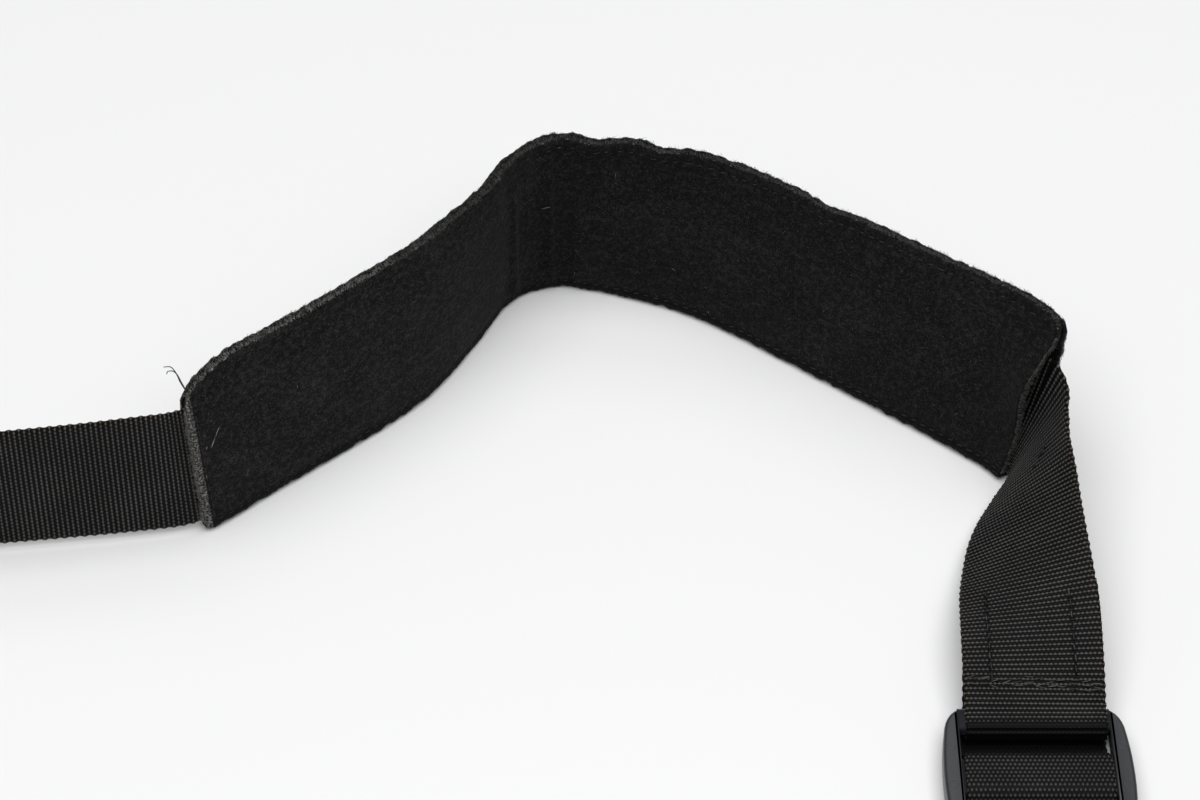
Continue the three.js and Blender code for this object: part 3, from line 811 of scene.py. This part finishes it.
def woven_material(name, gap_shade, float_colour, rib, pitch, checker, strand_scale):
    """Nylon webbing: painted shade between the floats and where it is pulled in or turns into the slider,
    a low sheen of fine lengthwise strands on the floats.
    """
    made, maker, shader = new_material(name)
    flat = maker.node("UVMap", {"uv_map": "cloth"}, {})
    run = maker.node("SeparateXYZ", {}, {0: flat}, out=0)
    across = maker.node("SeparateXYZ", {}, {0: flat}, out=1)
    place = run * (1000 / rib)
    row = maker.math("ROUND", place)
    stagger = maker.math("FRACT", row * 0.5 + 0.001)
    wave = maker.math("COSINE", (across * (1000 / pitch) + stagger) * math.tau)
    from_crest = maker.math("ABSOLUTE", place - row)
    rib_shade = 1 - (from_crest - wave * checker).between(0.04, 0.31)
    floats = rib_shade * (wave * (2 * checker) + (1 - 2 * checker))
    strands = maker.node("VectorMath", {"operation": "MULTIPLY"}, {0: flat, 1: (1.0, 6.0, 1.0)})
    filament = maker.noise(strands, strand_scale, 2)
    uneven = maker.noise(flat, 700, 2)
    faded = maker.noise(flat, 60, 3).between(0.35, 0.75)
    shown = floats + (filament - 0.5) * 0.5 + (uneven - 0.5) * 0.6 + (faded - 0.5) * 0.2
    # Painted shade in the valleys where the seams pull the webbing in.
    shown = shown - maker.node("Attribute", {"attribute_name": "pulled_in_and_shade"}, {}, out=2) * 0.55
    # Painted shade where the webbing turns down into the slider's slots.
    shown = shown - maker.node("Attribute", {"attribute_name": "painted_shade"}, {}, out=2) * 1.1
    rubbed_edge = maker.math("ABSOLUTE", across).between(0.0166, 0.0188)
    browned = tuple(c * w for c, w in zip(float_colour, (1.25, 1.1, 0.95)))
    float_shade = rubbed_edge.tint(float_colour, browned)
    # The gaps' near-black colour is painted shade between the floats.
    give(shader, Base_Color=shown.between(0.12, 1.1).tint(gap_shade, float_shade))
    give(shader, Roughness=0.68 - filament * 0.22, Specular_IOR_Level=0.12)
    give(shader, Sheen_Weight=0.012, Sheen_Roughness=0.4)
    height = floats + filament * 0.22
    give(shader, Normal=maker.node("Bump", {}, {"Height": height, "Strength": 0.7, "Distance": 0.0003}))
    return made


QUARTER = RIB / 4
strap_columns = woven_columns(
    (
        (0, LEFT_WEB_LENGTH + 5, QUARTER),
        (LEFT_WEB_LENGTH + 5, STANDING_LENGTH - 9, 2 * RIB),
        (STANDING_LENGTH - 9, STANDING_LENGTH + FREE_LENGTH + 6, QUARTER),
        (STANDING_LENGTH + FREE_LENGTH + 6, WEB_LENGTH, RIB / 2),
    )
)
SEAM_ROWS = ((-11.6, 37), (11.2, 33))  # across from the middle, and start short of the upper bar


def pulled_by_seams(run, across):
    """Where the sewn loop's two long rows pull the webbing in; the same amount paints shade into those
    valleys.
    """
    before_bar = STANDING_LENGTH + FREE_LENGTH - run
    return sum(hump(across - a, 0.5) * ((before_bar < start) & (before_bar > 9)) for a, start in SEAM_ROWS)


def loop_painted_shade(run):
    """Painted shade: the loop is painted darker where it turns down into the slider, out of the light."""
    return smoothstep(run - STANDING_LENGTH - FREE_LENGTH, 1.5, 6)


strap_web = woven_band(
    "woven_strap", strap_columns, WEB_WIDTH, WEB_THICK, RIB, FLOAT, CHECKER, FLOAT_HEIGHT,
    web_points, pulled_by_seams, loop_painted_shade,
)  # fmt: skip
strap_pitch = WEB_WIDTH / round(WEB_WIDTH / FLOAT)
STRAP_GAP_SHADE, STRAP_FLOATS = (0.001, 0.001, 0.001), (0.085, 0.083, 0.08)
strap_web.data.materials.append(
    woven_material("strap_nylon", STRAP_GAP_SHADE, STRAP_FLOATS, RIB, strap_pitch, CHECKER, 2600)
)
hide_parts("strap_webbing")

# ---- Stitches of the sewn loop ----
# The webbing's end is held under the strap by two rows along it and a rough, doubled row across
# it close to the slider, in thread of the webbing's colour, pulled down between the floats.
web_thread = thread_material("web_thread", (0.01, 0.01, 0.01), (0.085, 0.083, 0.08))
bar_end = STANDING_LENGTH + FREE_LENGTH


def web_face(run, across):
    """Points on the inner, upward face, with that face's outward, lengthwise and width directions."""
    step = 0.5
    face = np.full(len(run), -WEB_THICK / 2)
    here = web_points(run, across, face)
    ahead = web_points(run + step, across, face) - here
    width = web_points(run, across + step, face) - here
    look = np.cross(ahead, width)
    unit = [v / np.linalg.norm(v, axis=1)[:, None] for v in (ahead, width, look)]
    out = here - web_points(run, across, face + 0.5)
    flip = np.sign(np.sum(out * unit[2], axis=1))[:, None]
    return here, unit[0], unit[1], unit[2] * flip


def sewn_rows():
    """Start, direction along the webbing and across it, length and depth of each stitch."""
    pick = np.random.default_rng(3)
    rows = []
    for across, start in SEAM_ROWS:
        for n in range(int((start - 8) / 2.9)):
            run, place = bar_end - start + 2.9 * n, across + pick.normal(0, 0.12)
            rows.append((run, place, 1, 0.03, 2.3, pick.uniform(0.06, 0.2)))
    for sweep in range(3):
        for n in range(12):
            across = -17.8 + 3.0 * n + pick.normal(0, 0.25)
            run = bar_end - 9.4 + 0.9 * sweep + 1.4 * (n / 12) + pick.normal(0, 0.3)
            rows.append((run, across, pick.normal(0, 0.22), 1, 2.4, pick.uniform(0.02, 0.18)))
    return np.array(rows)


sewn = sewn_rows()
roots, ahead, width, look = web_face(sewn[:, 0], sewn[:, 1])
ups = ahead * sewn[:, 2:3] + width * sewn[:, 3:4]
ups /= np.linalg.norm(ups, axis=1)[:, None]
pick = np.random.default_rng(4)
box_stitches = scattered(
    "loop_stitches", stitch, roots - look * sewn[:, 5:6], ups, look, sewn[:, 4],
    np.full(len(sewn), 0.4), pick.beta(1.2, 2, len(sewn)),
)  # fmt: skip
box_stitches.data.materials.append(web_thread)

# ---- Camera webbing ----
# A second, finer webbing. Its tail lies under the sewn loop, comes up through the slider's
# upper slot, crosses the centre bar, goes down under the lower bar and lies flat to its end.
CAMERA_RIB = 1.25
CAMERA_FLOAT = 1.13
CAMERA_CHECKER = 0.15
CAMERA_FLOAT_HEIGHT = 0.25
TAIL_BEYOND_BAR = 4.5
CAMERA_WEB_BEYOND = 21
CAMERA_WEB_WIDTH = 37.3


def camera_side_view():
    low = WEB_THICK / 2
    high = CENTRE_BAR["z"] + CENTRE_BAR["thick"] / 2 + GAP + WEB_THICK / 2 + 2 * BAR_SLACK
    y, shoulder, half = slider_middle[1], CENTRE_BAR["width"] / 2, SLIDER_LENGTH / 2
    climb = [(7.2, low + 0.2), (4, low + 2), (1.6, high - 1.9), (-0.7, high - 0.2)]
    up = [(y + shoulder + d, z) for d, z in climb]
    down = [(y - shoulder - d, z) for d, z in reversed(climb)]
    start = [(upper_bar_y + TAIL_BEYOND_BAR, low), (upper_bar_y - 1, low)]
    end = [(y - half + 4, low), (y - half - 4, low), (y - half - CAMERA_WEB_BEYOND, low)]
    return [*start, *up, (y, high), *down, *end]


camera_middles = side_view(camera_side_view(), 400)
camera_widths, camera_outs = squared(camera_middles, np.tile(FLAT_WIDTH, (400, 1)))
camera_run = np.concatenate([[0], np.cumsum(np.linalg.norm(np.diff(camera_middles, axis=0), axis=1))])


def camera_web_points(run, across, outwards):
    middle = along_line(run, camera_run, camera_middles)
    width = along_line(run, camera_run, camera_widths)
    out = along_line(run, camera_run, camera_outs)
    return middle + width * across[:, None] + out * outwards[:, None]


def camera_painted_shade(run):
    """Painted shade on the second webbing too, in the slot, where it climbs from under the loop to the centre
    bar.
    """
    y = np.interp(run, camera_run, camera_middles[:, 1])
    past_bar = y - slider_middle[1] - CENTRE_BAR["width"] / 2
    return smoothstep(past_bar, -0.6, 1.2)


camera_columns = woven_columns(((0, camera_run[-1], CAMERA_RIB / 3),))
camera_web = woven_band(
    "woven_camera_web", camera_columns, CAMERA_WEB_WIDTH, WEB_THICK, CAMERA_RIB, CAMERA_FLOAT,
    CAMERA_CHECKER, CAMERA_FLOAT_HEIGHT, camera_web_points, lambda run, across: 0 * run, camera_painted_shade,
)  # fmt: skip
camera_pitch = CAMERA_WEB_WIDTH / round(CAMERA_WEB_WIDTH / CAMERA_FLOAT)
CAMERA_GAP_SHADE, CAMERA_FLOATS = (0.002, 0.002, 0.002), (0.056, 0.056, 0.056)
camera_web.data.materials.append(
    woven_material("camera_nylon", CAMERA_GAP_SHADE, CAMERA_FLOATS, CAMERA_RIB, camera_pitch, CAMERA_CHECKER, 3400)
)
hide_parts("camera_webbing")

# ---- Slider ----
# A tri-glide slider moulded in one piece from black acetal: two gently bowed side rails joined by
# three round-edged bars. Its top is polished by wear and shows faint marks of the ejector pins.
SLIDER_WIDTH = 47.9
SLIDER_THICK = 5.8
SLIDER_LIFT = WEB_THICK + GAP
LANE_WIDTH = 38.2


def curve_point(a, b, c, d, t):
    weights = ((1 - t) ** 3, 3 * (1 - t) ** 2 * t, 3 * (1 - t) * t**2, t**3)
    return tuple(sum(w * v for w, v in zip(weights, values)) for values in zip(a, b, c, d))


def rail_outline():
    """The right rail seen from above: its straight lane side, round ends and bowed outer side."""
    end, side, lane = SLIDER_LENGTH / 2, SLIDER_WIDTH / 2, LANE_WIDTH / 2
    corner = [
        curve_point((side - 8, end), (side - 3.4, end), (side - 1.3, end - 3.4), (side - 0.9, end - 8), t / 8)
        for t in range(9)
    ]
    inner_end = np.interp(lane, [x for x, _ in corner], [y for _, y in corner])
    upper = [(lane, inner_end), *((x, y) for x, y in corner if x > lane + 0.4)]
    bow = [(side - 0.9 + 3.6 * t * (1 - t), (end - 8) * (1 - 2 * t)) for t in np.arange(0.1, 0.95, 0.1)]
    return [*upper, *bow, *((x, -y) for x, y in reversed(upper))]


def slider_mesh():
    bm = bmesh.new()
    corners = [bm.verts.new((x, y, SLIDER_LIFT)) for x, y in rail_outline()]
    rail = bm.faces.new(corners)
    lifted = bmesh.ops.extrude_face_region(bm, geom=[rail], use_keep_orig=True)
    top = [v for v in lifted["geom"] if isinstance(v, bmesh.types.BMVert)]
    bmesh.ops.translate(bm, verts=top, vec=(0, 0, SLIDER_THICK))
    flat_edges = [e for e in bm.edges if abs(e.verts[0].co.z - e.verts[1].co.z) < 0.1]
    bmesh.ops.bevel(bm, geom=flat_edges, offset=0.95, segments=4, profile=0.5, affect="EDGES", material=-1)
    bmesh.ops.mirror(bm, geom=bm.verts[:] + bm.edges[:] + bm.faces[:], axis="X", merge_dist=-1)
    outer = (SLIDER_LENGTH - OUTER_BAR["width"]) / 2
    for bar, y in ((OUTER_BAR, outer), (CENTRE_BAR, 0), (OUTER_BAR, -outer)):
        made = bmesh.ops.create_cube(bm, size=1)["verts"]
        bmesh.ops.scale(bm, verts=made, vec=(LANE_WIDTH + 0.4, bar["width"], bar["thick"]))
        bmesh.ops.translate(bm, verts=made, vec=(0, y, bar["z"]))
        edges = {e for v in made for e in v.link_edges}
        lengthwise = [e for e in edges if abs(e.verts[0].co.x - e.verts[1].co.x) > 1]
        bmesh.ops.bevel(bm, geom=lengthwise, offset=1.2, segments=5, profile=0.5, affect="EDGES", material=-1)
    bmesh.ops.recalc_face_normals(bm, faces=bm.faces)
    return as_mesh(bm, "slider")


def acetal():
    """Black acetal, polished by wear, with faint round pin marks along both rails."""
    made, maker, shader = new_material("black_acetal")
    place = maker.node("TexCoord", {}, {}, out=3)
    cloudy = maker.noise(place, 160, 3)
    fine = maker.noise(place, 2600, 2)
    marks = None
    for rail in (-1, 1):
        for y in (-14, -3, 9):
            spot = placed(slider_middle + np.array([rail * 21.7, y, SLIDER_LIFT + SLIDER_THICK]))
            apart = maker.node("VectorMath", {"operation": "DISTANCE"}, {0: place, 1: tuple(spot)}, out=1)
            ring = apart.between(0.0009, 0.00105) * (1 - apart.between(0.00115, 0.0013))
            marks = ring if marks is None else marks + ring
    give(shader, Base_Color=(cloudy * 0.7 + fine * 0.3).tint((0.013, 0.0145, 0.017), (0.026, 0.028, 0.032)))
    give(shader, Roughness=0.3 + cloudy * 0.12 + fine * 0.06, Specular_IOR_Level=0.6)
    relief = fine * 0.25 + cloudy * 0.6 - marks * 0.6
    give(shader, Normal=maker.node("Bump", {}, {"Height": relief, "Strength": 0.35, "Distance": 0.00015}))
    return made


mesh = slider_mesh()
moulding = finished_piece("moulded_slider", mesh, placed(corners_of(mesh) + slider_middle))
moulding.data.materials.append(acetal())
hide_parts("slider")

# ---- Snagged and loose threads ----
# A brown end of sewing thread has come loose at the pad's upper left corner and split in two, and
# the nap is scuffed into pale threads beside the left end's seam.
# On the twisted webbing one dark snag lies slantwise across the weave.
LOOSE_THREAD = 0.2
SNAG = 0.26
SCUFF = 0.11


def thread_tube(name, routes, radius, material):
    """Round threads along routes of points, in one mesh, thinning to their ends."""
    pieces = []
    for route in routes:
        line = smooth_line(route, np.linspace(0, 1, 26))
        curve = bpy.data.curves.new(name, "CURVE")
        curve.dimensions = "3D"
        curve.bevel_depth = 0.001 * radius
        curve.bevel_resolution = 2
        curve.use_fill_caps = True
        spline = curve.splines.new("POLY")
        spline.points.add(len(line) - 1)
        for n, (point, row) in enumerate(zip(spline.points, placed(line))):
            point.co = (*row, 1)
            point.radius = 1 - 0.45 * n / len(line)
        pieces.append(bpy.data.objects.new(name, curve))
    bm = bmesh.new()
    for piece in pieces:
        bpy.context.scene.collection.objects.link(piece)
        shown = piece.evaluated_get(bpy.context.evaluated_depsgraph_get())
        bm.from_mesh(bpy.data.meshes.new_from_object(shown))
        bpy.data.objects.remove(piece)
    bmesh.ops.recalc_face_normals(bm, faces=bm.faces)
    mesh = as_mesh(bm, name)
    store_amount(mesh, "tone", np.full(len(mesh.vertices), 0.5))
    mesh.materials.append(material)
    on_root(name, mesh)


brown = thread_material("brown_thread", (0.035, 0.026, 0.02), (0.12, 0.095, 0.075))
corner_point, _ = layer_points(1, np.array([3.2]), np.array([0.97]), np.array([0.6]))
thread_root = corner_point[0]
long_steps = np.array([(0, 0, 0), (-1.3, 0.2, 3.1), (-2.2, 0.4, 6.3), (-3.4, 0.5, 8.3), (-5.2, 0.4, 8.4)])
short_steps = np.array(
    [(0, 0, 0), (-1, 0.1, 3), (-1.9, 0.2, 5.8), (-2.9, 0.1, 7.2), (-4.2, -0.1, 7.2), (-4.5, -0.2, 6.4)]
)
loose_routes = [thread_root + long_steps, thread_root + short_steps]
thread_tube("loose_thread_end", loose_routes, LOOSE_THREAD, brown)

snag_run = STANDING_LENGTH + np.array([15.0, 17.0, 17.6, 19.6, 20.6])
snag_points, _, _, snag_look = web_face(snag_run, np.array([7.4, 5.8, 4.2, 3.4, 1.2]))
dark_thread = thread_material("snag", (0.001, 0.001, 0.001), (0.003, 0.003, 0.003))
thread_tube("webbing_snag", [snag_points + snag_look * 0.12], SNAG, dark_thread)

scuffs = []
for places in (
    ((3.6, 0.5), (5.6, 0.52), (7.4, 0.57), (9.6, 0.63)),
    ((4.2, 0.52), (5.4, 0.56), (7.2, 0.58)),
    ((2.9, 0.8), (3.2, 0.74), (2.9, 0.69), (3.3, 0.65)),
    ((3.0, 0.36), (2.8, 0.3), (3.1, 0.25)),
):
    route_along, route_share = np.array(places).T
    route, route_look, _, _ = face_directions(-1, route_along, route_share)
    scuffs.append(route + route_look * 0.1)
thread_tube("pale_scuffs", scuffs, SCUFF, lint_material)

# ---- Table and light ----
# The strap stands on a plain white table. A wide soft light hangs over it, a little in front, a
# small one behind lights its upper edges, and the room gives an even fill.
FLOOR_SIZE = 6
ROOM_FILL = 0.19


def painted_table():
    made, maker, shader = new_material("white_table")
    place = maker.node("TexCoord", {}, {}, out=3)
    shade = maker.noise(place, 1.6, 1)
    give(shader, Base_Color=shade.tint((0.86, 0.86, 0.865), (0.88, 0.88, 0.885)), Roughness=0.6)
    give(shader, Specular_IOR_Level=0.2)
    return made


bm = bmesh.new()
bmesh.ops.create_grid(bm, x_segments=1, y_segments=1, size=FLOOR_SIZE / 2)
floor_mesh = as_mesh(bm, "table")
floor = bpy.data.objects.new("table", floor_mesh)
floor_mesh.materials.append(painted_table())
bpy.context.scene.collection.objects.link(floor)

world = bpy.data.worlds.new("studio")
world.use_nodes = True
world.node_tree.nodes["Background"].inputs[0].default_value = (0.97, 0.98, 1.0, 1)
world.node_tree.nodes["Background"].inputs[1].default_value = ROOM_FILL
bpy.context.scene.world = world


def soft_light(name, place, aim, width, height, power):
    data = bpy.data.lights.new(name, "AREA")
    data.shape = "RECTANGLE"
    data.size, data.size_y = width, height
    data.energy = power
    light = bpy.data.objects.new(name, data)
    light.location = place
    light.rotation_euler = (Vector(aim) - Vector(place)).to_track_quat("-Z", "Y").to_euler()
    bpy.context.scene.collection.objects.link(light)


soft_light("back_light", (0.2, 0.95, 1.2), (0.05, 0, 0), 0.9, 0.5, 2.2)
soft_light("key_light", (0.03, -0.3, 1.6), (0.03, -0.1, 0), 2, 2, 33.5)
